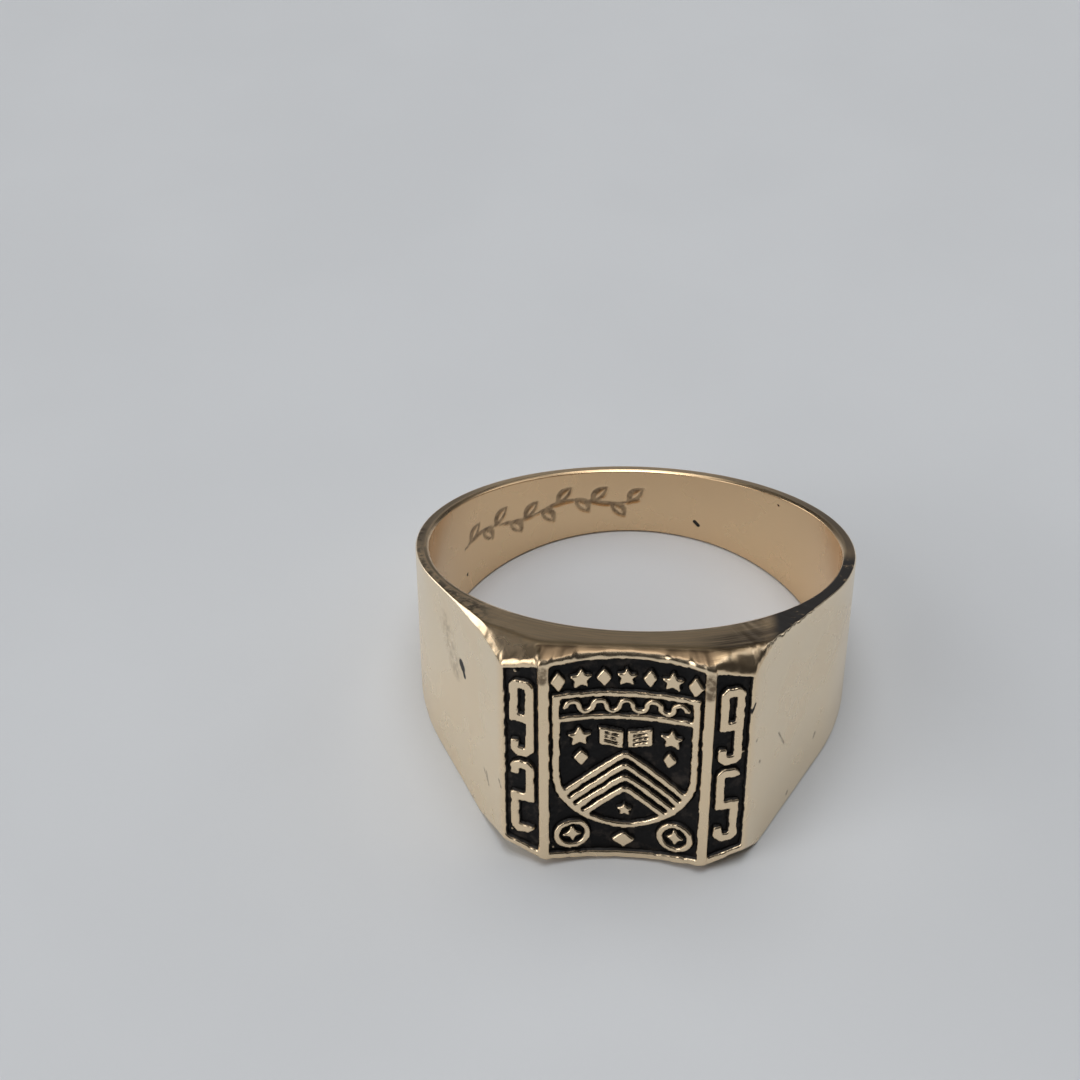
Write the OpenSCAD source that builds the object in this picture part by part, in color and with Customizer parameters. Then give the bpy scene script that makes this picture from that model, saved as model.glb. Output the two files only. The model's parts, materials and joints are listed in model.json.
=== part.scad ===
// Class ring, cast in one piece of gold, with black fill in the recesses of its face.
// The ring lies on the lower edge of its band, as it does on a table. The face looks
// along -Y and a little upwards, and the finger hole leans back by the taper of the band.

/* [Band] */
// Inner diameter of the finger hole
finger_d = 19; // [15:0.25:22]
// Thickness of the plain band
shank_t = 0.65; // [0.5:0.05:1.2]
// Width of the band, level with the finger axis
band_w = 7.2; // [6.4:0.1:8]
// Angle at which each edge of the band widens towards the face
taper_deg = 10.3; // [8:0.1:12]

/* [Face] */
// Width of the face, from corner to corner
face_w = 10.4; // [10:0.1:11]
// How far the corners of the face stand in front of the finger hole's surface
corner_out = 1.9; // [1.7:0.05:2.2]
// How far the bevels come down from the line of the band's edge at the corners
corner_drop = 0.89; // [0.7:0.01:1.1]
// Distance of the two upright bars from the middle of the face
bar_x = 3.42; // [3.35:0.01:3.5]
// Width of an upright bar
bar_w = 0.38; // [0.36:0.01:0.6]
// How far the bars stand in front of the finger hole's surface
bar_out = 2.5; // [2.4:0.05:2.7]
// How far the bevels come down from the line of the band's edge at the bars
bar_drop = 0.45; // [0.35:0.01:0.55]
// How far the middle of the centre panel is hollowed behind its sides
dish = 0.55; // [0.4:0.05:0.6]
// How far the bevel of the head's top and bottom starts behind the bars
bevel_in = 0.9; // [0.7:0.05:1]
// How far the left corner's bevel reaches back along the edge of the shoulder
left_reach = 2.6; // [1:0.1:3]
// How far the right corner's bevel reaches back along the edge of the shoulder
right_reach = 1.4; // [1:0.1:3]

/* [Relief] */
// Depth of the recesses, from the top of the relief to their floor
relief_d = 0.35; // [0.25:0.01:0.45]
// Thickness of the black fill on that floor
fill_t = 0.14; // [0.08:0.01:0.2]
// Gap between the fill and the gold round it
fill_gap = 0.02; // [0.01:0.005:0.03]
// Width of the gold border beside a side panel's recess
border_w = 0.08; // [0.07:0.01:0.2]
// Height of a numeral on a side panel
numeral_h = 3.95; // [3.6:0.05:4]
// Width of a numeral
numeral_w = 1.06; // [1:0.01:1.2]
// Width of the thick strokes of a numeral
numeral_s = 0.37; // [0.3:0.01:0.4]
// Gap between the two numerals of a side panel
numeral_gap = 0.28; // [0.2:0.02:0.4]
// Width of the fine raised lines in the centre panel
line_w = 0.25; // [0.2:0.01:0.28]

/* [Hidden] */

$fn = 96;
gold = "#c8b088";
black = "#1c1b1e";

// Half the band's width at a distance y behind the finger axis
function half_w(y) = band_w / 2 - y * tan(taper_deg);

finger_r = finger_d / 2;
shank_r = finger_r + shank_t;
corner = [face_w / 2, -(finger_r + corner_out)];
bar_y = finger_r + bar_out;

// The flat shoulder leaves the round band where it is tangent to it, and ends a hair inside it.
shoulder_in = 0.01;
corner_far = norm(corner);
tangent_a = atan2(corner.y, corner.x) + acos(shank_r / corner_far);
tangent = (shank_r - shoulder_in) * [cos(tangent_a), sin(tangent_a)];

// The side panel runs from the corner to the outer side of the bar, which it meets a step lower.
bar_step = 0.1;
panel_in = [bar_x + bar_w / 2, -bar_y + bar_step];
panel_w = norm(corner - panel_in);
panel_a = atan2(corner.y - panel_in.y, corner.x - panel_in.x);

// The centre panel is a hollow cylinder between the inner sides of the bars.
centre_step = 0.03;
centre_hw = bar_x - bar_w / 2;
centre_y = bar_y - centre_step;
dish_r = (centre_hw * centre_hw + dish * dish) / (2 * dish);
dish_y = centre_y - dish + dish_r;

// The bevels of the head start on a fold line across the top and bottom.
corner_h = half_w(corner.y) - corner_drop;
bar_h = half_w(-bar_y) - bar_drop;
fold_y = bar_y - bevel_in;
fold = [0, -fold_y, half_w(-fold_y)];
bar_end = [bar_x, -bar_y, bar_h];
corner_end = [corner.x, corner.y, corner_h];

// Where the bevel of a corner ends on the edge of the shoulder, at the reach given
function facet_end(reach) = let (p = corner + reach * (tangent - corner) / norm(tangent - corner))
    [p.x, p.y, half_w(p.y)];

// The direction in which the bevel of a right corner with that reach faces, upwards
function facet_n(reach) = cross(facet_end(reach) - corner_end, bar_end - corner_end);

// Heights of the recesses: beside the corners, beside the bars, and the arch of the centre one
recess_corner_h = corner_h - 0.24;
recess_bar_h = bar_h - 0.37;
recess_arch = 0.17;
centre_h = bar_h - 0.3;
arch_r = (centre_hw * centre_hw + recess_arch * recess_arch) / (2 * recess_arch);

// The place of the ring when it lies on the lower edge of its band
lift = band_w / 2 * cos(taper_deg);
front = bar_y * cos(taper_deg) + bar_h * sin(taper_deg);
rear = shank_r * cos(taper_deg) + half_w(shank_r) * sin(taper_deg);
blank_h = band_w + 2 * bar_y * tan(taper_deg) + 1;
big = 4 * finger_d;

// The shield, which fills most of the centre panel
shield_hw = centre_hw - 0.2;
shield_top = centre_h - 1.51;
shield_tip = -centre_h + 1.21;
shield_turn = shield_tip + 3.27;
shield_steps = 12;

// What the shield carries: a chief with a wave, an open book between stars, and chevrons
chief_h = 1.3;
chief_z = shield_top - chief_h;
wave_count = 9;
wave_r = (shield_hw - line_w - 0.26) / wave_count;
book_z = chief_z - 1;
book_w = 1.1;
book_h = 0.86;
book_drop = 0.2;
book_lines = 3;
book_line_w = 0.09;
spine = 0.1;
book_star_x = (book_w + shield_hw - line_w) / 2;
book_star_r = 0.54;
chevron_count = 4;
chevron_top = chief_z - 1.98;
chevron_step = 0.62;
chevron_a = 38;
tip_star_z = shield_tip + 1;
tip_star_r = 0.4;
flank = [book_star_x - 0.08, book_z - 1.12];
flank_lozenge = [0.28, 0.42];

// A row of stars and lozenges over the shield, and two ringed stars and a lozenge under it
row_z = centre_h - 0.76;
row_half = 3;
row_step = centre_hw / (row_half + 0.44);
row_sag = 0.012;
row_star_r = 0.52;
row_lozenge = [0.3, 0.46];
foot_x = centre_hw - 1.02;
foot_z = -centre_h + 0.95;
foot_ring_r = 0.66;
foot_star_r = 0.44;
foot_lozenge = [0.5, 0.42];

module lay_down() {
    translate([0, (front - rear) / 2, lift]) rotate([-taper_deg, 0, 0]) children();
}

module top_and_bottom() {
    children();
    mirror([0, 0, 1]) children();
}

// Everything beyond a plane through p whose normal is n
module beyond(p, n) {
    translate(p) rotate([0, acos(n.z / norm(n)), atan2(n.y, n.x)])
        translate([-big / 2, -big / 2, 0]) cube(big);
}

// Outline of the head and shoulders seen along the finger
module head_plan() {
    polygon([
        tangent, corner, panel_in, [panel_in.x, -bar_y], [centre_hw, -bar_y], [centre_hw, -centre_y],
        [-centre_hw, -centre_y], [-centre_hw, -bar_y], [-panel_in.x, -bar_y],
        [-panel_in.x, panel_in.y], [-corner.x, corner.y], [-tangent.x, tangent.y]
    ]);
}

// The cast blank, before the relief is sunk into its face
module blank() {
    edge_n = [0, sin(taper_deg), cos(taper_deg)];
    bevel_n = cross([1, 0, 0], bar_end - [bar_x, fold.y, fold.z]);
    difference() {
        union() {
            cylinder(r = shank_r, h = blank_h, center = true);
            linear_extrude(blank_h, center = true) head_plan();
        }
        cylinder(r = finger_r, h = big, center = true);
        translate([0, -dish_y, 0]) cylinder(r = dish_r, h = big, center = true);
        top_and_bottom() {
            beyond([0, 0, half_w(0)], edge_n);
            beyond(fold, bevel_n.z > 0 ? bevel_n : -bevel_n);
            beyond(corner_end, facet_n(right_reach));
            mirror([1, 0, 0]) beyond(corner_end, facet_n(left_reach));
        }
    }
}

// A star with n points, grown by g all round
module star(r, n = 5, waist = 0.46, g = 0) {
    half = 180 / n;
    side = norm([r - r * waist * cos(half), r * waist * sin(half)]);
    edge_d = r * r * waist * sin(half) / side;
    grow = 1 + g / edge_d;
    polygon([for (i = [0 : 2 * n - 1])
        (i % 2 == 0 ? r : r * waist) * grow * [sin(i * half), cos(i * half)]]);
}

module lozenge(w, h, g = 0) {
    grow = 1 + g * norm([w, h]) / (w * h);
    polygon([for (p = [[w, 0], [0, h], [-w, 0], [0, -h]]) p * grow]);
}

module ring(r, w, g = 0) {
    difference() {
        circle(r = r + w / 2 + g);
        circle(r = r - w / 2 - g);
    }
}

// A straight raised line from a to b, with square ends
module line(a, b, w, g = 0) {
    translate(a) rotate(atan2(b.y - a.y, b.x - a.x))
        translate([-g, -w / 2 - g]) square([norm(b - a) + 2 * g, w + 2 * g]);
}

// A shield with straight sides and two arcs that meet in a point, drawn inset by inset
module shield(inset) {
    turn_d = shield_turn - shield_tip;
    arc_x = (shield_hw * shield_hw - turn_d * turn_d) / (2 * shield_hw);
    arc_r = shield_hw - arc_x - inset;
    end_a = acos(-arc_x / arc_r);
    arc = [for (i = [0 : shield_steps]) let (a = end_a * i / shield_steps)
        [arc_x + arc_r * cos(a), shield_turn - arc_r * sin(a)]];
    top = shield_top - inset;
    right = concat([[shield_hw - inset, top]], arc);
    left = [for (i = [len(right) - 2 : -1 : 0]) [-right[i].x, right[i].y]];
    polygon(concat(right, left));
}

// A wave that runs along the chief, as half rings that turn up and down in turn
module running_wave(g) {
    wave_z = (shield_top - line_w + chief_z + line_w / 2) / 2;
    for (i = [0 : wave_count - 1])
        translate([(2 * i - wave_count + 1) * wave_r, wave_z]) mirror([0, i % 2]) intersection() {
            ring(wave_r, line_w * 0.75, g);
            translate([-2 * wave_r, -line_w / 4 - g]) square([4 * wave_r, 3 * wave_r]);
        }
}

// An open book, two pages with lines of writing sunk into each
module open_book(g) {
    low = book_z - book_h / 2;
    high = book_z + book_h / 2;
    for (side = [0, 1]) mirror([side, 0]) difference() {
        polygon([
            [spine - g, low - book_drop - g], [book_w + g, low - g],
            [book_w + g, high + g], [spine - g, high - book_drop + g]
        ]);
        for (i = [1 : book_lines]) {
            z = low + i * book_h / (book_lines + 1);
            line([spine + 0.18, z - book_drop * 0.9], [book_w - 0.16, z], book_line_w, -g);
        }
    }
}

// Inverted V shapes across the lower part of the shield, cut off by its border
module chevrons(g) {
    for (i = [0 : chevron_count - 1]) translate([0, chevron_top - i * chevron_step])
        for (side = [0, 1]) mirror([side, 0])
            line([0, 0], 2 * shield_hw * [cos(chevron_a), -sin(chevron_a)], line_w * 1.04, g);
}

// All that stands raised in the centre panel
module centre_relief(g) {
    difference() {
        shield(-g);
        shield(line_w + g);
    }
    line([-shield_hw + line_w / 2, chief_z], [shield_hw - line_w / 2, chief_z], line_w, g);
    running_wave(g);
    open_book(g);
    for (side = [-1, 1]) translate([side * book_star_x, book_z]) star(book_star_r, g = g);
    intersection() {
        shield(line_w / 2);
        chevrons(g);
    }
    translate([0, tip_star_z]) star(tip_star_r, g = g);
    for (side = [-1, 1]) translate([side * flank.x, flank.y]) lozenge(flank_lozenge.x, flank_lozenge.y, g);
    for (i = [-row_half : row_half]) translate([i * row_step, row_z - row_sag * i * i])
        if (i % 2 == 0) star(row_star_r, g = g);
        else lozenge(row_lozenge.x, row_lozenge.y, g);
    for (side = [-1, 1]) translate([side * foot_x, foot_z]) {
        ring(foot_ring_r, line_w * 0.85, g);
        star(foot_star_r, n = 4, waist = 0.4, g = g);
    }
    translate([0, foot_z - 0.42]) lozenge(foot_lozenge.x, foot_lozenge.y, g);
}

// The outline of the centre panel's recess, with its top and bottom gently arched
module centre_outline(g) {
    intersection() {
        translate([-centre_hw + g, -big / 2]) square([2 * (centre_hw - g), big]);
        intersection_for (side = [-1, 1])
            translate([0, side * (centre_h + recess_arch - arch_r)]) circle(r = arch_r - g);
    }
}

module centre_recess(g) {
    difference() {
        centre_outline(g);
        centre_relief(g);
    }
}

// A block numeral made of level bars, at parts of its height, and of upright strokes, each as
// [side, from, to] in parts of its height. Its corners are cut.
module numeral(bars, stems, g) {
    w = numeral_w;
    h = numeral_h;
    bar_s = numeral_s * 1.15;
    cut = numeral_s * 0.72;
    difference() {
        union() {
            for (at = bars) translate([-w / 2 - g, (h - bar_s) * (at - 0.5) - bar_s / 2 - g])
                square([w + 2 * g, bar_s + 2 * g]);
            for (stem = stems)
                translate([stem[0] * (w - numeral_s) / 2 - numeral_s / 2 - g, h * (stem[1] - 0.5) - g])
                    square([numeral_s + 2 * g, h * (stem[2] - stem[1]) + 2 * g]);
        }
        for (x = [-1, 1], y = [-1, 1]) translate([x * (w / 2 + g), y * (h / 2 + g)])
            rotate(45) square(cut * sqrt(2), center = true);
    }
}

module nine(g) numeral([0, 0.5, 1], [[-1, 0.5, 1], [1, 0, 1], [-1, 0, 0.2]], g);
module two(g) numeral([0, 0.5, 1], [[1, 0.5, 1], [-1, 0, 0.5], [-1, 0.8, 1]], g);
module five(g) numeral([0, 0.5, 1], [[-1, 0.5, 1], [1, 0, 0.5], [-1, 0, 0.2]], g);

// The recess of a side panel, drawn from the bar outwards, with two numerals in it
module side_recess(side, g) {
    far = panel_w - border_w;
    step = (numeral_h + numeral_gap) / 2;
    difference() {
        polygon([
            [g, -recess_bar_h + g], [far - g, -recess_corner_h + g],
            [far - g, recess_corner_h - g], [g, recess_bar_h - g]
        ]);
        translate([far / 2, 0]) mirror([side < 0 ? 1 : 0, 0]) {
            translate([0, step]) nine(g);
            translate([0, -step]) if (side < 0) two(g);
            else five(g);
        }
    }
}

// The space between two depths under the centre panel's surface, over the drawing given
module under_centre(top, floor) {
    intersection() {
        translate([0, -dish_y, 0]) difference() {
            cylinder(r = dish_r + floor, h = big, center = true);
            cylinder(r = dish_r + top, h = big, center = true);
        }
        translate([0, -finger_r, 0]) rotate([90, 0, 0]) linear_extrude(2 * bar_out) children();
    }
}

// The same under a side panel, which is flat
module under_side(side, top, floor) {
    mirror([side < 0 ? 1 : 0, 0, 0]) translate([panel_in.x, panel_in.y, 0])
        rotate([0, 0, panel_a]) rotate([90, 0, 0])
            translate([0, 0, -floor]) linear_extrude(floor - top) children();
}

module ring_body() {
    above = 0.5;
    color(gold) lay_down() difference() {
        blank();
        under_centre(-above, relief_d) centre_recess(0);
        for (side = [-1, 1]) under_side(side, -above, relief_d) side_recess(side, 0);
    }
}

module enamel_centre() {
    color(black) lay_down()
        under_centre(relief_d - fill_gap - fill_t, relief_d - fill_gap) centre_recess(fill_gap);
}

module enamel_side(side) {
    color(black) lay_down()
        under_side(side, relief_d - fill_gap - fill_t, relief_d - fill_gap) side_recess(side, fill_gap);
}

module enamel_left() enamel_side(-1);
module enamel_right() enamel_side(1);

ring_body();
enamel_left();
enamel_centre();
enamel_right();
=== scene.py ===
"""Looks for a cast gold class ring that lies on a pale table.

The ring is built again as a fine skin over its solid: rounded rims, soft cast relief, lumps along the
edges and engraving inside the band. The black fill gets an uneven surface of its own. All sizes are in
metres. The skin is worked out in the frame of the finger hole: X to the right of the face, Y to the back
and Z along the finger.
"""

import json
import math

import bpy
import numpy as np
from bpy.props import FloatProperty, FloatVectorProperty, PointerProperty
from bpy.types import Operator, Panel, PropertyGroup
from mathutils import Matrix, Vector
from mathutils.bvhtree import BVHTree


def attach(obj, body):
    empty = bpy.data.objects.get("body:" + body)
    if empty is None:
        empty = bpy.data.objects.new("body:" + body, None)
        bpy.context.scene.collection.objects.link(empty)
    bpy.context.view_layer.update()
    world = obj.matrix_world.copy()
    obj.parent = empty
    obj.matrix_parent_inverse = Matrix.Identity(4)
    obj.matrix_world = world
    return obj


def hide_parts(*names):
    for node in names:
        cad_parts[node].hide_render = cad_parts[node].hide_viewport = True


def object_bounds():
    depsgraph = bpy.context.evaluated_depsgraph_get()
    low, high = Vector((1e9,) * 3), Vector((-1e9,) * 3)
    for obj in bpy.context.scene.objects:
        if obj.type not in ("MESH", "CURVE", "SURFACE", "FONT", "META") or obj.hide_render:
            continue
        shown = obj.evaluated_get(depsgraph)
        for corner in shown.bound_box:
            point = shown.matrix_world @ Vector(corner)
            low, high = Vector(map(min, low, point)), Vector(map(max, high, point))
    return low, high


bl_info = {
    "name": "Class Ring",
    "version": (1, 0, 0),
    "blender": (4, 5, 0),
    "location": "3D View > Sidebar > Ring",
    "description": "Builds the fine skin, black fill, finishes and stage of a cast class ring",
    "category": "Add Mesh",
}

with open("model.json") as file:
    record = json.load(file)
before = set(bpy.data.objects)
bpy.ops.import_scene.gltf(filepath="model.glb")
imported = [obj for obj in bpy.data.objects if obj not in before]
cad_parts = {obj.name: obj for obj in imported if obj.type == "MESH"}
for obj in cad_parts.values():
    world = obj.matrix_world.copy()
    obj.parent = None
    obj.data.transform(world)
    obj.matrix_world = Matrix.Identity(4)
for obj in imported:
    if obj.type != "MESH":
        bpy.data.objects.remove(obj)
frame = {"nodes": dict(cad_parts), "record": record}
SOLID_BOX = [list(corner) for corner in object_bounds()]
HOLE = frame["record"]["mounts"][0]
HOLE_RADIUS = HOLE["dims"]["r_mm"] / 1000
TAPER = math.asin(HOLE["axis"][1])
TO_WORLD = Matrix.Translation(HOLE["pos_m"]) @ Matrix.Rotation(-TAPER, 4, "X")
GOLD_SOLID = "ring_body"
FILL_SOLIDS = ("enamel_left", "enamel_centre", "enamel_right")
MM = 0.001


def length(name, description, default):
    """A size of the ring from its default in millimetres, shown in the scene's unit of length."""
    return FloatProperty(
        name=name, description=description, default=default * MM, unit="LENGTH", precision=5, min=0.0
    )


def colour(name, description, default):
    """A colour of the ring or the table."""
    return FloatVectorProperty(
        name=name, description=description, default=default, subtype="COLOR", size=3, min=0.0, max=1.0
    )


class RingSizes(PropertyGroup):
    """Sizes of the ring's skin, which follow its solid."""

    band_thickness: length("Band thickness", "Thickness of the plain band", 0.65)
    band_width: length("Band width", "Width of the band, level with the finger axis", 7.2)
    face_width: length("Face width", "Width of the face, from corner to corner", 10.4)
    corner_out: length("Corner out", "How far the corners stand in front of the finger hole", 1.9)
    corner_drop: length("Corner drop", "How far the bevels come down at the corners", 0.89)
    bar_place: length("Bar place", "Distance of the upright bars from the middle", 3.42)
    bar_width: length("Bar width", "Width of an upright bar", 0.38)
    bar_out: length("Bar out", "How far the bars stand in front of the finger hole", 2.5)
    bar_drop: length("Bar drop", "How far the bevels come down at the bars", 0.45)
    bar_step: length("Bar step", "How far the side panels meet the bars behind their front", 0.1)
    centre_step: length("Centre step", "How far the centre panel starts behind the bars", 0.03)
    hollow: length("Hollow", "Depth of the centre panel's hollow", 0.55)
    bevel_in: length("Bevel in", "How far the bevel of the head starts behind the bars", 0.9)
    left_reach: length("Left reach", "How far the left corner's bevel reaches back", 2.6)
    right_reach: length("Right reach", "How far the right corner's bevel reaches back", 1.4)
    relief_depth: length("Relief depth", "Depth of the recesses in the face", 0.35)
    fill_depth: length("Fill depth", "Depth of the fill's surface under the top of the relief", 0.19)
    fill_back: length("Fill back", "Depth of the back of the fill", 0.33)
    band_rim: length("Band rim", "Radius of the rounded rims of the band", 0.11)
    face_rim: length("Face rim", "Radius of the rounded lower rim of the face", 0.08)
    lip_rim: length("Lip rim", "Radius of the thick upper rim of the face", 0.2)
    worn_edge: length("Worn edge", "Width of the worn chamfer on top of the left shoulder", 0.27)
    right_edge: length("Right edge", "Width of the lumpy edge on top of the right shoulder", 0.17)
    engraving_depth: length("Engraving depth", "Depth of the sprig inside the band", 0.05)
    corner_round: length("Corner rounding", "How far the upright corners are rounded", 0.05)
    fold_round: length("Fold rounding", "How far the folds between bevels are rounded", 0.035)
    cast_round: length("Cast rounding", "How far the edges of the relief are rounded", 0.04)
    cast_wander: length("Cast wander", "How far the edges of the relief wander", 0.04)
    face_cell: length("Face cell", "Size of the skin's cells on the face", 0.05)
    shoulder_cell: length("Shoulder cell", "Width of the skin's cells on the shoulders", 0.1)
    engraving_cell: length("Engraving cell", "Width of the skin's cells at the engraving", 0.1)
    band_cell: length("Band cell", "Width of the skin's cells round the band", 0.5)


class RingColours(PropertyGroup):
    """Colours of the ring's finishes and of the table."""

    gold: colour("Gold", "The pale gold of the casting", (0.93, 0.785, 0.575))
    warm_gold: colour("Warm gold", "Gold where it is rubbed and slightly tarnished", (0.92, 0.71, 0.46))
    bore_gold: colour("Bore gold", "The redder gold inside the band", (0.81, 0.585, 0.355))
    edge_gold: colour("Edge gold", "The browner gold of the band's edges", (0.98, 0.715, 0.42))
    # This colour serves both as real tarnish and as painted shade on the edges, the head's bevel and a band
    # along the top edge.
    tarnish_and_shade: colour("Tarnish", "Brown tarnish near the rims", (0.13, 0.085, 0.05))
    soot: colour("Soot", "Black left in pits and corners", (0.012, 0.009, 0.007))
    fill: colour("Fill", "The black fill of the recesses", (0.005, 0.0042, 0.0042))
    dust: colour("Dust", "Dull dust on the fill", (0.045, 0.036, 0.03))
    table: colour("Table", "The pale surface that the ring lies on", (0.68, 0.7, 0.725))


def smooth_step(low, high, values):
    """0 below low, 1 above high, and a soft rise between them."""
    share = np.clip((values - low) / (high - low), 0.0, 1.0)
    return share * share * (3.0 - 2.0 * share)


LATTICE = 64
FACE_MARGIN = 0.1 * MM
RAY_START = 0.6 * MM
LIP_DEPTH = 0.12 * MM
CAST_SLOPE = (0.42, 0.92)
FILLED_FROM = 0.28
BACK_WEAR = 0.45
FRONT_WEAR = 0.45
BACK_FLATNESS = 0.35
BACK_STRAIGHTNESS = 0.85
BORE_REACH = 0.98
LIP_SWELL = 0.04
LIP_BEAD = 0.1
BAND_WAVE = 0.006
RIGHT_LUMPS = 0.035
LEFT_LUMPS = 0.01


def between(grid, row, column, up, across):
    """A grid's value between four of its points, at shares up and across from the first of them."""
    rows, columns = grid.shape
    below, above = ((row + i) % rows for i in (0, 1))
    left, right = ((column + i) % columns for i in (0, 1))
    low = grid[below, left] * (1 - across) + grid[below, right] * across
    high = grid[above, left] * (1 - across) + grid[above, right] * across
    return low * (1 - up) + high * up


def lumps(along, across, cell, seed, octaves=1):
    """Smooth seeded unevenness from -1 to 1, with lumps about one cell wide."""
    total = np.zeros(np.broadcast(along, across).shape)
    weight = 1.0
    whole = 0.0
    for octave in range(octaves):
        table = np.random.default_rng(seed + octave).uniform(-1.0, 1.0, (LATTICE, LATTICE))
        a = along / cell + 31.7
        b = across / cell + 17.3
        row = np.floor(a).astype(int)
        column = np.floor(b).astype(int)
        fa = smooth_step(0.0, 1.0, a - row)
        fb = smooth_step(0.0, 1.0, b - column)
        total = total + weight * between(table, row, column, fa, fb)
        whole += weight
        weight *= 0.5
        cell = cell / 2
    return total / whole


def soften(grid, spread):
    """Blurs a grid of numbers along both of its directions. The spread is in cells."""
    reach = int(math.ceil(3 * spread))
    steps = np.arange(-reach, reach + 1)
    weights = np.exp(-0.5 * (steps / spread) ** 2)
    weights /= weights.sum()
    for axis in (0, 1):
        pad = [(0, 0), (0, 0)]
        pad[axis] = (reach, reach)
        padded = np.pad(grid, pad, mode="edge")
        count = grid.shape[axis]
        parts = [w * padded.take(range(i, i + count), axis=axis) for i, w in enumerate(weights)]
        grid = sum(parts)
    return grid


class RingForm:
    """The form of the ring in the frame of its finger hole, worked out from its sizes."""

    def __init__(self, sizes):
        self.sizes = sizes
        self.band_radius = HOLE_RADIUS + sizes.band_thickness
        self.corner = np.array([sizes.face_width / 2, -(HOLE_RADIUS + sizes.corner_out)])
        self.bar_front = HOLE_RADIUS + sizes.bar_out
        self.bar_outer = sizes.bar_place + sizes.bar_width / 2
        self.bar_inner = sizes.bar_place - sizes.bar_width / 2
        self.centre_front = self.bar_front - sizes.centre_step
        half = self.bar_inner
        self.hollow_radius = (half * half + sizes.hollow * sizes.hollow) / (2 * sizes.hollow)
        self.hollow_place = self.centre_front - sizes.hollow + self.hollow_radius
        far = math.hypot(*self.corner)
        turn = math.atan2(self.corner[1], self.corner[0]) + math.acos(self.band_radius / far)
        self.tangent_turn = turn
        self.tangent = self.band_radius * np.array([math.cos(turn), math.sin(turn)])
        self.corner_height = self.half_width(self.corner[1]) - sizes.corner_drop
        self.bar_height = self.half_width(-self.bar_front) - sizes.bar_drop
        self.trace()

    def half_width(self, y):
        """Half the width of the band at a distance y behind the finger axis."""
        return self.sizes.band_width / 2 - y * math.tan(TAPER)

    def top(self, x, y):
        """Height of the ring's upper edge over the plan, with its folds rounded."""
        planes = np.stack(np.broadcast_arrays(*self.planes(x, y)))
        lowest = planes.min(axis=0)
        spread = self.sizes.fold_round
        return lowest - spread * np.log(np.exp(-(planes - lowest) / spread).sum(axis=0))

    def planes(self, x, y):
        """Heights of the band's edge, the head's bevel and the bevels of the left and right corners."""
        sizes = self.sizes
        fold_y = -(self.bar_front - sizes.bevel_in)
        fold_z = self.half_width(fold_y)
        slope = (self.bar_height - fold_z) / (-self.bar_front - fold_y)
        bevel = fold_z + (y - fold_y) * slope
        left = self.facet(-x, y, sizes.left_reach)
        right = self.facet(x, y, sizes.right_reach)
        return self.half_width(y), bevel, left, right

    def above_corners(self, x, y):
        """How far the bevels of the corners lie under the band's edge and the head's bevel."""
        edge, bevel, left, right = self.planes(x, y)
        return np.minimum(edge, bevel) - np.minimum(left, right)

    def facet(self, x, y, reach):
        """Height of a right corner's bevel, which reaches back so far along the shoulder."""
        shoulder = self.tangent - self.corner
        back = self.corner + reach * shoulder / np.linalg.norm(shoulder)
        corner = Vector((*self.corner, self.corner_height))
        bar = Vector((self.sizes.bar_place, -self.bar_front, self.bar_height))
        normal = (Vector((*back, self.half_width(back[1]))) - corner).cross(bar - corner)
        return corner.z - (normal.x * (x - corner.x) + normal.y * (y - corner.y)) / normal.z

    def trace(self):
        """Traces the plan from the back round the left side, evenly, with its corners rounded."""
        sizes = self.sizes
        step = 0.01 * MM
        turn = self.tangent_turn
        points = []
        for angle in np.arange(math.pi / 2, math.pi - turn, step / self.band_radius):
            points.append(self.band_radius * np.array([math.cos(angle), math.sin(angle)]))
        left = np.array([-1.0, 1.0])
        inner_step = np.array([self.bar_outer, -self.bar_front + sizes.bar_step])
        bar_outer = np.array([self.bar_outer, -self.bar_front])
        bar_inner = np.array([self.bar_inner, -self.bar_front])
        centre_side = np.array([self.bar_inner, -self.centre_front])
        corners = [self.tangent, self.corner, inner_step, bar_outer, bar_inner, centre_side]
        for a, b in zip(corners, corners[1:]):
            count = max(2, int(np.linalg.norm(b - a) / step))
            for share in np.linspace(0, 1, count, endpoint=False):
                points.append((a + (b - a) * share) * left)
        half_turn = math.asin(self.bar_inner / self.hollow_radius)
        for angle in np.arange(-half_turn, 0, step / self.hollow_radius):
            x = self.hollow_radius * math.sin(angle)
            y = -self.hollow_place + self.hollow_radius * math.cos(angle)
            points.append(np.array([x, y]))
        half = np.array(points)
        whole = np.vstack([half, half[::-1] * left])
        gaps = np.linalg.norm(np.diff(whole, axis=0, append=whole[:1]), axis=1)
        whole = whole[gaps > step / 100]
        gaps = np.linalg.norm(np.diff(whole, axis=0, append=whole[:1]), axis=1)
        place = np.concatenate([[0.0], np.cumsum(gaps)])
        closed = np.vstack([whole, whole[:1]])
        self.round_length = place[-1]
        even = np.linspace(0, place[-1], int(place[-1] / step), endpoint=False)
        plan = np.stack([np.interp(even, place, closed[:, i]) for i in (0, 1)], axis=1)
        spread = sizes.corner_round / (even[1] - even[0])
        waves = np.fft.fftfreq(len(even))
        damp = np.exp(-2 * (math.pi * waves * spread) ** 2)
        rounded = [np.fft.ifft(np.fft.fft(plan[:, i]) * damp).real for i in (0, 1)]
        self.places = even
        self.plan = np.stack(rounded, axis=1)
        ahead = np.roll(self.plan, -3, axis=0) - np.roll(self.plan, 3, axis=0)
        ahead /= np.linalg.norm(ahead, axis=1)[:, None]
        self.out = np.stack([ahead[:, 1], -ahead[:, 0]], axis=1)
        self.corner_place = self.places[np.argmin(np.linalg.norm(plan - self.corner * left, axis=1))]
        self.tangent_place = self.places[np.argmin(np.linalg.norm(plan - self.tangent * left, axis=1))]

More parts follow.
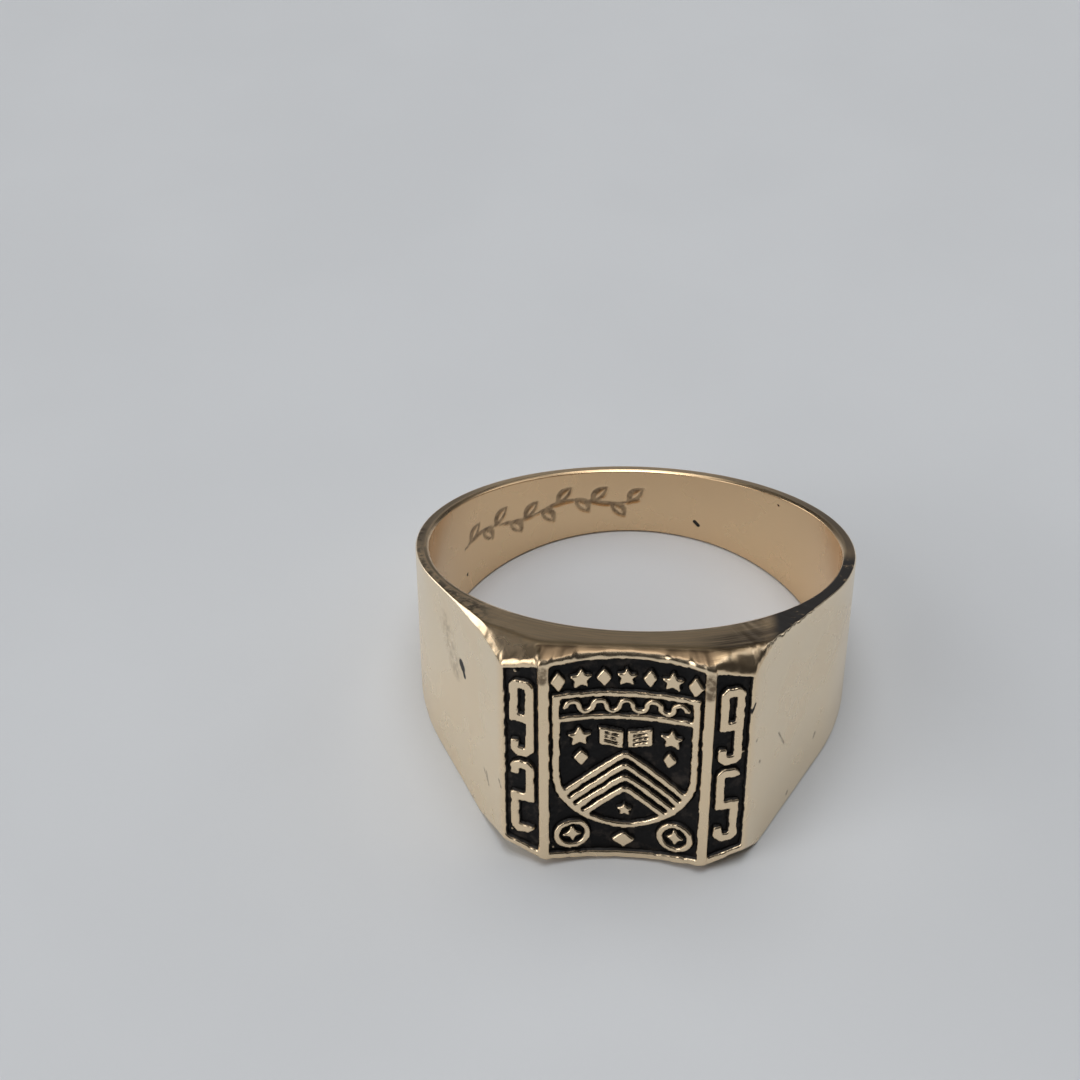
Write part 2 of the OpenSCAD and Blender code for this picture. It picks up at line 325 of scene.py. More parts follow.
    def at(self, places):
        """Points of the plan and their outward directions at places along it."""
        places = np.mod(places, self.round_length)
        period = self.round_length
        point = [np.interp(places, self.places, self.plan[:, i], period=period) for i in (0, 1)]
        out = [np.interp(places, self.places, self.out[:, i], period=period) for i in (0, 1)]
        out = np.stack(out, axis=-1)
        out /= np.linalg.norm(out, axis=-1)[..., None]
        return np.stack(point, axis=-1), out

    def zones(self):
        """Places of the skin's columns, in zones with their own rows: (places, wall rows, bore rows)."""
        sizes = self.sizes
        whole = self.round_length
        face = self.corner_place - 0.4 * MM
        engraved = [turn * self.band_radius for turn in ENGRAVED_TURN]
        left = spread_out(engraved[1], self.tangent_place, sizes.band_cell)
        right = spread_out(whole - self.tangent_place, whole + engraved[0], sizes.band_cell)
        left_shoulder = spread_out(self.tangent_place, face, sizes.shoulder_cell)
        right_shoulder = spread_out(whole - face, whole - self.tangent_place, sizes.shoulder_cell)
        return (
            (spread_out(*engraved, sizes.engraving_cell), PLAIN_ROWS, ENGRAVED_ROWS),
            (np.concatenate([left, left_shoulder]), PLAIN_ROWS, BORE_ROWS),
            (spread_out(face, whole - face, sizes.face_cell), FACE_ROWS, BORE_ROWS),
            (np.concatenate([right_shoulder, right]), PLAIN_ROWS, BORE_ROWS),
        )


def spread_out(low, high, cell):
    """Places from low up to high, without high itself, about one cell apart."""
    return np.linspace(low, high, int(round((high - low) / cell)), endpoint=False)


class Relief:
    """The relief of the face, read off the gold solid by rays and softened like a casting."""

    def __init__(self, form):
        self.form = form
        sizes = form.sizes
        self.cell = sizes.face_cell / 2
        self.low = form.corner_place - FACE_MARGIN
        self.high = form.round_length - form.corner_place + FACE_MARGIN
        self.tall = form.half_width(-form.bar_front)
        across = np.arange(self.low, self.high, self.cell)
        up = np.arange(-self.tall, self.tall, self.cell)
        points, outs = form.at(across)
        solid = frame["nodes"][GOLD_SOLID].data
        back = TO_WORLD.inverted()
        corners = [back @ vertex.co for vertex in solid.vertices]
        tree = BVHTree.FromPolygons(corners, [tuple(face.vertices) for face in solid.polygons])
        sunk = np.zeros((len(up), len(across)))
        tops = form.top(points[:, 0], points[:, 1])
        for i, (point, out) in enumerate(zip(points, outs)):
            direction = Vector((-out[0], -out[1], 0))
            x = point[0] + out[0] * RAY_START
            y = point[1] + out[1] * RAY_START
            for j, z in enumerate(up):
                if abs(z) > tops[i] - LIP_DEPTH:
                    continue
                hit = tree.ray_cast(Vector((x, y, z)), direction)
                if hit[0] is not None:
                    sunk[j, i] = hit[3] - RAY_START > sizes.relief_depth / 2
        soft = soften(self.wander(sunk, across, up), sizes.cast_round / self.cell)
        self.grid = smooth_step(*CAST_SLOPE, soft)

    def wander(self, grid, across, up):
        """The grid with its edges moved about a little."""
        reach = self.form.sizes.cast_wander / self.cell
        moved = []
        for axis, seed in ((0, 11), (1, 17)):
            drift = reach * lumps(across[None, :], up[:, None], 0.3 * MM, seed, 2)
            index = np.indices(grid.shape)[axis] + np.rint(drift).astype(int)
            moved.append(np.clip(index, 0, grid.shape[axis] - 1))
        return grid[moved[0], moved[1]]

    def at(self, places, heights):
        """How deep the recess is at places and heights, from 0 on the relief to 1 on the floor."""
        column = (places - self.low) / self.cell
        row = (heights + self.tall) / self.cell
        inside = (column > 0) & (column < self.grid.shape[1] - 2)
        inside &= (row > 0) & (row < self.grid.shape[0] - 2)
        column = np.clip(column, 0, self.grid.shape[1] - 2)
        row = np.clip(row, 0, self.grid.shape[0] - 2)
        left = column.astype(int)
        low = row.astype(int)
        return np.where(inside, between(self.grid, low, left, row - low, column - left), 0.0)


class Zone:
    """A stretch of the ring's skin: a grid of columns round the ring and rows over its section."""

    def __init__(self, form, places, wall_rows, bore_rows):
        self.form = form
        self.places = places
        self.outer, self.out = form.at(places)
        self.outer_top = form.top(self.outer[:, 0], self.outer[:, 1])[:, None]
        self.rows = (wall_rows, RIM_ROWS, EDGE_ROWS, HOLE_ROWS, bore_rows, HOLE_ROWS, EDGE_ROWS, RIM_ROWS)
        self.wall = slice(0, wall_rows)
        self.bore = slice(sum(self.rows[:4]), sum(self.rows[:5]))
        whole = form.round_length
        self.from_back = np.minimum(np.mod(places, whole), np.mod(-places, whole))[:, None]
        self.from_corner = self.from_back - form.corner_place
        self.on_face = smooth_step(-0.3 * MM, 0.1 * MM, self.from_corner)
        self.build_section()

    def edges(self):
        """Widths of the top and bottom rims at each column, and how flat the top one is."""
        sizes = self.form.sizes
        back = -self.from_corner
        places = self.places[:, None]
        left = places < self.form.round_length / 2
        near = smooth_step(5.8 * MM, 2.2 * MM, back) * smooth_step(-0.05 * MM, 0.3 * MM, back)
        uneven = lumps(places, 0 * places, 0.5 * MM, 71, 2)
        worn = np.where(left, sizes.worn_edge * (1 + 0.06 * uneven), sizes.right_edge * (1 + 0.8 * uneven))
        low = sizes.band_rim + (sizes.face_rim - sizes.band_rim) * self.on_face
        lip = sizes.lip_rim * (1 + 0.3 * lumps(places, 0 * places, 0.35 * MM, 77, 2))
        plain = sizes.band_rim + (lip - sizes.band_rim) * self.on_face
        return plain + (worn - plain) * near, low, np.where(left, near, 0.3 * near)

    def build_section(self):
        form = self.form
        inner = self.outer * (HOLE_RADIUS / np.linalg.norm(self.outer, axis=1))[:, None]
        across = inner - self.outer
        thick = np.linalg.norm(across, axis=1)[:, None]
        across /= thick
        inner_top = form.top(inner[:, 0], inner[:, 1])[:, None]
        top_rim, low_rim, flat = self.edges()
        behind = smooth_step(-3 * MM, 2 * MM, inner[:, 1:])
        before = smooth_step(0, -5 * MM, inner[:, 1:])
        hole_rim = form.sizes.band_rim * (1 + BACK_WEAR * behind + FRONT_WEAR * before)
        hole_drop = hole_rim * (1 - BACK_FLATNESS * behind)
        wall = np.linspace(0, 1, self.rows[0])[None, :]
        bore = np.linspace(BORE_REACH, -BORE_REACH, self.rows[4])[None, :]
        edge = np.linspace(0, 1, EDGE_ROWS)[None, :]
        share = (np.arange(1, RIM_ROWS + 1) / (RIM_ROWS + 1))[None, :]
        wide = 1 - np.cos(share * math.pi / 2)
        drop = 1 - np.sin(share * math.pi / 2)
        near = (np.arange(1, HOLE_ROWS + 1) / HOLE_ROWS)[None, :]
        worn = BACK_STRAIGHTNESS * behind
        hole_wide = (1 - np.sin(near * math.pi / 2)) * (1 - worn) + (1 - near) * worn
        hole_deep = (1 - np.cos(near * math.pi / 2)) * (1 - worn) + near * worn
        ones = np.ones_like(thick)
        top_wide = wide + (share - wide) * flat
        top_drop = drop + (1 - share - drop) * flat
        chamfer_end = self.outer + across * top_rim
        chamfer_top = form.top(chamfer_end[:, 0], chamfer_end[:, 1])[:, None]
        rim_drop = top_rim - flat * np.clip(chamfer_top - self.outer_top, 0, 0.8 * top_rim)
        low = low_rim - self.outer_top
        high = self.outer_top - rim_drop
        parts = [
            (0 * wall * ones, low + wall * (high - low), 0),
            (top_rim * top_wide, top_rim * top_drop, 1),
            (top_rim + edge * (thick - top_rim - hole_rim), 0 * edge * ones, 1),
            (thick - hole_rim * hole_wide, hole_drop * hole_deep, 1),
            (thick + 0 * bore, bore * (inner_top - hole_drop), 0),
            (thick - hole_rim * hole_wide[:, ::-1], hole_drop * hole_deep[:, ::-1], -1),
            (low_rim + edge[:, ::-1] * (thick - low_rim - hole_rim), 0 * edge * ones, -1),
            (low_rim * wide[:, ::-1], low_rim * drop[:, ::-1], -1),
        ]
        offset = np.concatenate([part[0] for part in parts], axis=1)
        rise = np.concatenate([part[1] for part in parts], axis=1)
        side = np.concatenate([part[2] + 0 * part[1] for part in parts], axis=1)
        x = self.outer[:, :1] + across[:, :1] * offset
        y = self.outer[:, 1:] + across[:, 1:] * offset
        z = np.where(side == 0, rise, side * (form.top(x, y) - rise))
        chamfer = slice(self.rows[0], self.rows[0] + RIM_ROWS)
        straight = high + (chamfer_top - high) * (1 - top_drop)
        z[:, chamfer] += (straight - z[:, chamfer]) * flat
        self.points = np.stack([x, y, z], axis=2)
        self.sunk = np.zeros_like(z)
        self.cut = np.zeros_like(z)
        self.light = smooth_step(0.0, 0.05 * MM, form.above_corners(x, y)) * (side > 0)
        self.add_unevenness()

    def uneven(self, heights, cell, seed, octaves=1):
        """Lumps all over the zone, which join up again at the back of the ring."""
        whole = self.form.round_length
        places = self.places[:, None]
        first = lumps(places, heights, cell, seed, octaves)
        again = lumps(places - whole, heights, cell, seed, octaves)
        return first + (again - first) * smooth_step(0.7 * whole, 0.9 * whole, places)

    def add_unevenness(self):
        """Lumps along the edges of the face, and a slight waviness of the shoulders."""
        form = self.form
        x, y, z = np.moveaxis(self.points, 2, 0)
        places = self.places[:, None]
        near_top = smooth_step(0.5 * MM, 0.05 * MM, np.abs(form.top(x, y) - np.abs(z)))
        near_front = smooth_step(1.0 * MM, 0.3 * MM, y + form.bar_front)
        border = self.on_face * near_top * near_front
        swell = LIP_SWELL * lumps(places, z, 0.4 * MM, 23, 2) * border
        for low, high in LUMPY_STRETCHES:
            window = smooth_step(low - 0.2, low + 0.1, x / MM) * smooth_step(high + 0.2, high - 0.1, x / MM)
            bead = 0.5 + 0.5 * lumps(places, z * 0.5, 0.34 * MM, 31)
            swell = swell + LIP_BEAD * window * bead * border * (z > 0)
        wave = BAND_WAVE * self.uneven(z, 3.0 * MM, 5) * (1 - self.on_face)
        rolled = smooth_step(0.6 * MM, 0.1 * MM, np.abs(form.top(x, y) - z)) * (1 - self.on_face)
        shoulder = smooth_step(7.2 * MM, 5.0 * MM, -self.from_corner)
        rough = np.where(places > form.round_length / 2, RIGHT_LUMPS, LEFT_LUMPS)
        wave = wave + rough * self.uneven(z, 0.26 * MM, 61, 2) * rolled * shoulder
        push = (swell + wave) * MM
        self.points[:, :, 0] += self.out[:, :1] * push
        self.points[:, :, 1] += self.out[:, 1:] * push
        self.points[:, :, 2] += np.sign(z) * (swell * 0.5 + wave * 0.5) * MM * near_top
        self.bare_wall = self.points[:, self.wall].copy()

    def add_relief(self, relief):
        """Sinks the recesses of the face into the outer wall."""
        depth = self.form.sizes.relief_depth
        heights = self.points[:, self.wall, 2]
        sunk = relief.at(self.places[:, None] * np.ones_like(heights), heights)
        for x, z, radius in CAST_BEADS:
            away = np.hypot(self.points[:, self.wall, 0] - x * MM, heights - z * MM)
            sunk = sunk * (1 - BEAD_HEIGHT * smooth_step(radius * MM, 0.3 * radius * MM, away))
        self.sunk[:, self.wall] = sunk
        self.points[:, self.wall, :2] -= self.out[:, None, :] * (depth * sunk)[:, :, None]

    def add_engraving(self):
        """Cuts the sprig into the bore."""
        x, y, z = np.moveaxis(self.points[:, self.bore], 2, 0)
        turn = np.mod(np.arctan2(y, x), 2 * math.pi)
        cut = sprig(turn * HOLE_RADIUS, z)
        self.cut[:, self.bore] = cut
        grow = 1 + self.form.sizes.engraving_depth * cut / HOLE_RADIUS
        self.points[:, self.bore, 0] *= grow
        self.points[:, self.bore, 1] *= grow


SPRIG_TURN = math.radians(120)
STEM_PIECES = 60
STEM_START = -5.4
STEM_LENGTH = 10.4
LEAF_COUNT = 11
LEAF_START = -4.9
LEAF_STEP = 0.94
LEAF_LENGTH = 0.72
LEAF_HEIGHT = 0.78
LEAF_PIECES = 9
LEAF_EDGES = ((0.3, 0.09), (-0.16, 0.05))


def stem_height(along):
    """Height of the sprig's wavy stem, in millimetres."""
    return 0.22 * math.sin(along * 1.25) + 0.1


def sprig_strokes():
    """The strokes of the sprig in millimetres: both ends and half the width of each."""
    strokes = []
    for i in range(STEM_PIECES):
        s, end = (STEM_START + STEM_LENGTH * step / STEM_PIECES for step in (i, i + 1))
        strokes.append((s, stem_height(s), end, stem_height(end), 0.07 + 0.035 * math.sin(s * 2.5)))
    for i in range(LEAF_COUNT):
        s = LEAF_START + i * LEAF_STEP
        z = stem_height(s)
        side = 1 if i % 2 == 0 else -1
        for curve, thick in LEAF_EDGES:
            last = None
            for share in np.linspace(0, 1, LEAF_PIECES):
                bow = curve * math.sin(math.pi * share)
                along = s + LEAF_LENGTH * share - bow * side * 0.75
                at = (along, z + side * (LEAF_HEIGHT * share) + bow * 0.6)
                if last is not None:
                    strokes.append((*last, *at, thick * (0.5 + math.sin(math.pi * share))))
                last = at
    return strokes


def sprig(along, up):
    """How deep an engraved leafy sprig is at places along the bore and heights, from 0 to 1."""
    middle = SPRIG_TURN * HOLE_RADIUS
    deep = np.zeros_like(along)
    for s0, z0, s1, z1, thick in sprig_strokes():
        a = (middle - along) / MM - s0
        b = up / MM - z0
        run = (s1 - s0, z1 - z0)
        share = np.clip((a * run[0] + b * run[1]) / (run[0] ** 2 + run[1] ** 2), 0, 1)
        away = np.hypot(a - share * run[0], b - share * run[1])
        deep = np.maximum(deep, smooth_step(thick + 0.09, thick - 0.05, away))
    return deep


FACE_ROWS = 193
PLAIN_ROWS = 49
ENGRAVED_ROWS = 41
BORE_ROWS = 11
EDGE_ROWS = 12
RIM_ROWS = 5
HOLE_ROWS = 6
ENGRAVED_TURN = (math.radians(-8), math.radians(70))
LUMPY_STRETCHES = ((-3.6, -2.2), (1.7, 3.1))
CAST_BEADS = (
    (-4.62, 4.5, 0.2),
    (-4.85, -4.1, 0.12),
    (-3.0, -4.72, 0.13),
    (2.95, -1.2, 0.14),
    (4.95, 0.7, 0.13),
)
BEAD_HEIGHT = 0.85


class Skin:
    """The ring's fine skin, in zones that are stitched together."""

    def __init__(self, sizes):
        self.form = RingForm(sizes)
        self.zones = [Zone(self.form, *zone) for zone in self.form.zones()]
        self.zones[0].add_engraving()
        self.face = self.zones[2]
        self.face.add_relief(Relief(self.form))

    def gather(self, name):
        """One kind of numbers of all zones, point by point."""
        kept = [getattr(zone, name) for zone in self.zones]
        return np.concatenate([part.reshape(-1, *part.shape[2:]) for part in kept])

    def build(self):
        """The closed mesh of the gold."""
        faces = []
        grids = []
        first = 0
        for zone in self.zones:
            shape = zone.points.shape[:2]
            index = first + np.arange(shape[0] * shape[1]).reshape(shape)
            first += index.size
            up = np.roll(index, -1, axis=1)
            quads = np.stack([index[:-1], index[1:], up[1:], up[:-1]], axis=2)
            faces.extend(quads.reshape(-1, 4).tolist())
            grids.append(index)
        for i, zone in enumerate(self.zones):
            ahead = (i + 1) % len(self.zones)
            faces.extend(stitch(grids[i][-1], zone.rows, grids[ahead][0], self.zones[ahead].rows))
        return mesh_object("gold_casting", self.gather("points"), faces)

    def fill(self, name, low, high):
        """One pool of black fill between two places along the face, as a closed lumpy sheet."""
        sizes = self.form.sizes
        face = self.face
        chosen = (face.places >= low) & (face.places <= high)
        wall = face.bare_wall[chosen]
        sunk = face.sunk[chosen, face.wall]
        out = face.out[chosen]
        places = face.places[chosen][:, None]
        heights = wall[:, :, 2]
        uneven = 0.02 * lumps(places, heights, 0.5 * MM, 41, 3)
        uneven = uneven + 0.012 * lumps(places, heights, 0.16 * MM, 47)
        depth = sizes.fill_depth + uneven * MM
        front = wall.copy()
        front[:, :, :2] -= out[:, None, :] * depth[:, :, None]
        back = wall.copy()
        back[:, :, :2] -= out[:, None, :] * sizes.fill_back
        deep = sunk > FILLED_FROM
        cell = deep[:-1, :-1] & deep[1:, :-1] & deep[1:, 1:] & deep[:-1, 1:]
        columns, rows = sunk.shape
        index = np.arange(columns * rows).reshape(columns, rows)
        corners = (index[:-1, :-1], index[1:, :-1], index[1:, 1:], index[:-1, 1:])
        shown = np.stack(corners, axis=2)[cell]
        hidden = shown[:, ::-1] + columns * rows
        edges = np.concatenate([shown[:, [i, (i + 1) % 4]] for i in range(4)])
        keys = set(map(tuple, edges.tolist()))
        rim = np.array([edge for edge in keys if (edge[1], edge[0]) not in keys])
        rim = rim[np.lexsort((rim[:, 1], rim[:, 0]))]
        behind = rim + columns * rows
        sides = np.stack([rim[:, 1], rim[:, 0], behind[:, 0], behind[:, 1]], axis=1)
        points = np.concatenate([front.reshape(-1, 3), back.reshape(-1, 3)])
        faces = np.concatenate([shown, hidden, sides])
        used, faces = np.unique(faces, return_inverse=True)
        return mesh_object(name, points[used], faces.reshape(-1, 4).tolist())


def stitch(here, here_rows, there, there_rows):
    """Faces between two neighbouring columns whose parts may have different numbers of rows."""
    stops = []
    a = 0
    b = 0
    for here_count, there_count in zip(here_rows, there_rows):
        steps = min(here_count, there_count) - 1
        for i in range(steps + 1):
            stops.append((a + i * (here_count - 1) // steps, b + i * (there_count - 1) // steps))
        a += here_count
        b += there_count
    faces = []
    for (a, b), (next_a, next_b) in zip(stops, stops[1:] + [(a, b)]):
        right = [int(there[row % len(there)]) for row in range(b, next_b + 1)]
        left = [int(here[row % len(here)]) for row in range(a, next_a + 1)]
        faces.append([left[0], *right, *left[:0:-1]])
    return faces


def mesh_object(name, points, faces):
    """A smooth mesh object from points in the frame of the finger hole, kept inside the solid's box."""
    turn = np.array(TO_WORLD.to_3x3())
    points = points @ turn.T + np.array(TO_WORLD.translation)
    points = np.clip(points, SOLID_BOX[0], SOLID_BOX[1])
    mesh = bpy.data.meshes.new(name)
    mesh.from_pydata(points.tolist(), [], faces)
    mesh.polygons.foreach_set("use_smooth", [True] * len(mesh.polygons))
    mesh.update()
    return linked(name, mesh)


def linked(name, data):
    """A new object in the scene, from its mesh, light or camera."""
    made = bpy.data.objects.new(name, data)
    bpy.context.scene.collection.objects.link(made)
    return made


def keep_numbers(obj, name, values):
    """Stores one number for each point of a mesh, which its finish reads."""
    kept = obj.data.attributes.new(name, "FLOAT", "POINT")
    kept.data.foreach_set("value", np.asarray(values, dtype=np.float32).ravel())


class Wire:
    """An output in a shader, so that shader maths reads as plain expressions."""

    def __init__(self, shader, socket):
        self.shader = shader
        self.socket = socket

    def __add__(self, other):
        return self.shader.maths("ADD", self, other)

    __radd__ = __add__

    def __sub__(self, other):
        return self.shader.maths("SUBTRACT", self, other)

    def __rsub__(self, other):
        return self.shader.maths("SUBTRACT", other, self)

    def __mul__(self, other):
        return self.shader.maths("MULTIPLY", self, other)

    __rmul__ = __mul__


class Finish:
    """A material under construction."""

    def __init__(self, name):
        self.material = bpy.data.materials.new(name)
        self.material.use_nodes = True
        self.tree = self.material.node_tree
        self.tree.nodes.clear()

    def node(self, kind, settings=None, inputs=None):
        """Adds a node of a type, with its settings first and then the values or links of its sockets."""
        made = self.tree.nodes.new(kind)
        for name, value in (settings or {}).items():
            setattr(made, name, value)
        for name, value in (inputs or {}).items():
            if isinstance(value, Wire):
                self.tree.links.new(value.socket, made.inputs[name])
            else:
                made.inputs[name].default_value = value
        return made

    def wire(self, kind, settings=None, inputs=None, output=0):
        return Wire(self, self.node(kind, settings, inputs).outputs[output])

    def maths(self, operation, *values):
        inputs = dict(enumerate(values))
        return self.wire("ShaderNodeMath", {"operation": operation}, inputs)

    def vector(self, operation, *values, output=0):
        inputs = dict(enumerate(values))
        return self.wire("ShaderNodeVectorMath", {"operation": operation}, inputs, output)

    def clamp(self, value):
        return self.wire("ShaderNodeClamp", {}, {"Value": value})

    def rise(self, value, low, high):
        """0 below low, 1 above high, and a soft rise between them."""
        inputs = {"Value": value, "From Min": low, "From Max": high}
        return self.wire("ShaderNodeMapRange", {"interpolation_type": "SMOOTHSTEP"}, inputs)

    def mix(self, share, first, second):
        """Mixes two colours."""
        inputs = {0: share, 6: first, 7: second}
        return self.wire("ShaderNodeMix", {"data_type": "RGBA"}, inputs, 2)

    def noise(self, place, scale, detail, roughness):
        inputs = {"Vector": place, "Scale": scale, "Detail": detail, "Roughness": roughness}
        return self.wire("ShaderNodeTexNoise", {}, inputs)

    def stored(self, name):
        """A number kept for each point of the mesh."""
        return self.wire("ShaderNodeAttribute", {"attribute_name": name}, {}, 2)

    def place(self):
        """The place on the object, in the frame of the finger hole."""
        world = self.wire("ShaderNodeTexCoord", {}, {}, 3)
        inputs = {"Vector": world, "Location": HOLE["pos_m"], "Rotation": (-TAPER, 0, 0)}
        return self.wire("ShaderNodeMapping", {"vector_type": "TEXTURE"}, inputs)

    def join(self, x, y, z):
        return self.wire("ShaderNodeCombineXYZ", {}, {"X": x, "Y": y, "Z": z})

    def parts(self, vector):
        made = self.node("ShaderNodeSeparateXYZ", {}, {"Vector": vector})
        return [Wire(self, made.outputs[i]) for i in range(3)]

    def bump(self, height, strength, distance):
        inputs = {"Height": height, "Strength": strength, "Distance": distance}
        return self.wire("ShaderNodeBump", {}, inputs)

    def surface(self, **inputs):
        """Ends the material with one glossy or dull surface."""
        named = {name.replace("_", " "): value for name, value in inputs.items()}
        made = self.node("ShaderNodeBsdfPrincipled", {}, named)
        output = self.node("ShaderNodeOutputMaterial")
        self.tree.links.new(made.outputs[0], output.inputs[0])
        return self.material


def opaque(shade):
    return (*shade, 1.0)


def spot(x, y, z):
    """A place given in millimetres."""
    return Vector((x, y, z)) * MM


def shoulder_spot(side, back, height):
    """A place on a shoulder: its distance back from the corner, and its height, in millimetres."""
    return spot(side * (5.2 + 0.4926 * back), 0.87 * back - 11.4, height)


def add_marks(f, place, marks):
    """The nearness of a surface to short scratches, from 0 away from them to 1 in them."""
    nearness = 0.0
    for start, end, width in marks:
        run = end - start
        away = f.vector("SUBTRACT", place, start)
        share = f.clamp(f.vector("DOT_PRODUCT", away, run / run.length_squared, output=1))
        along = f.wire("ShaderNodeVectorMath", {"operation": "SCALE"}, {"Vector": run, "Scale": share})
        gap = f.vector("LENGTH", f.vector("SUBTRACT", away, along), output=1)
        nearness = f.maths("MAXIMUM", f.rise(gap, width * MM, 0.35 * width * MM), nearness)
    return nearness


SHOULDER_PITS = (
    (shoulder_spot(-1, 4.22, 1.92), shoulder_spot(-1, 4.08, 1.8), 0.34),
    (shoulder_spot(-1, 4.12, 1.85), shoulder_spot(-1, 3.9, 1.46), 0.19),
    (shoulder_spot(1, 0.16, 3.05), spot(5.1, -11.45, 2.7), 0.12),
)
SHOULDER_NICKS = tuple(
    (shoulder_spot(side, *start), shoulder_spot(side, *end), width)
    for side, start, end, width in (
        (-1, (2.02, -2.3), (1.7, -2.7), 0.08),
        (-1, (1.75, -2.3), (1.55, -2.9), 0.08),
        (-1, (0.42, -1.75), (0.24, -2.0), 0.11),
        (1, (2.7, -0.14), (3.31, -1.1), 0.08),
        (1, (6.59, -2.74), (6.5, -2.9), 0.12),
        (1, (1.03, -0.59), (0.98, -0.5), 0.1),
        (1, (4.09, -4.44), (4.05, -4.5), 0.14),
        (1, (0.62, 0.9), (0.55, 0.87), 0.1),
    )
)


def bore_spot(turn, height):
    """A place inside the band: its turn in degrees from the right, and its height in millimetres."""
    turn = math.radians(turn)
    return Vector((HOLE_RADIUS * math.cos(turn), HOLE_RADIUS * math.sin(turn), height * MM))


BORE_MARKS = (
    (bore_spot(71.9, -0.82), bore_spot(70.7, -1.0), 0.15),
    (bore_spot(42.8, 1.91), bore_spot(42.5, 1.9), 0.07),
    (bore_spot(152, -1.5), bore_spot(152.2, -1.6), 0.08),
)
BAR_STAINS = (
    (spot(-3.45, -11.97, 4.85), spot(-3.45, -11.97, 4.35), 0.3),
    (spot(3.42, -11.97, 4.75), spot(3.42, -11.97, 3.9), 0.36),
)
CORNER_SMUT = ((spot(-5.0, -11.0, 4.9), spot(-4.3, -11.2, 5.3), 0.7),)
WORN_PATCH = ((shoulder_spot(-1, 5.9, 3.0), shoulder_spot(-1, 4.9, 1.3), 0.85),)


